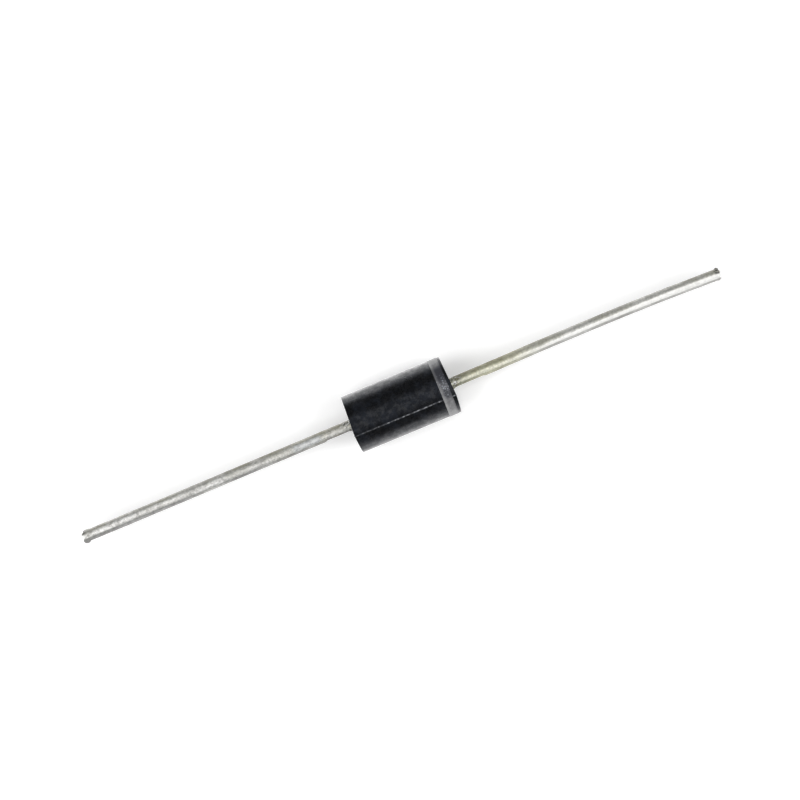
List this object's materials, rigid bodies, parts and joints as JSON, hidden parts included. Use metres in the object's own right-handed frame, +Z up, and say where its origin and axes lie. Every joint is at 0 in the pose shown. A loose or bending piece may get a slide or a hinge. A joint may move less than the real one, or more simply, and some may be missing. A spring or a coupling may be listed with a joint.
{
  "type": "axial lead rectifier diode",
  "caption": "Cylindrical black moulded rectifier diode with a grey cathode band at one end and a straight tinned wire lead out of each end, for through-hole boards.",
  "frame": {"origin": "middle of the case on the lead axis", "axes": "+X along the leads towards the banded cathode end, +Z up, +Y completes the right-handed frame"},
  "size_m": [0.0604, 0.0052, 0.0052],
  "materials": {
    "case_epoxy": "satin black moulding epoxy",
    "band_ink": "matt grey printing ink, thin and speckled",
    "tinned_copper": "dull drawn and tinned wire",
    "silicon": "polished dark grey chip",
    "solder": "reflowed soft solder"
  },
  "bodies": {
    "root": {"moulded_case": "case_epoxy", "cathode_band": "band_ink", "cathode_lead": "tinned_copper", "anode_lead": "tinned_copper", "silicon_die": "silicon", "cathode_solder": "solder", "anode_solder": "solder"}
  },
  "joints": []
}
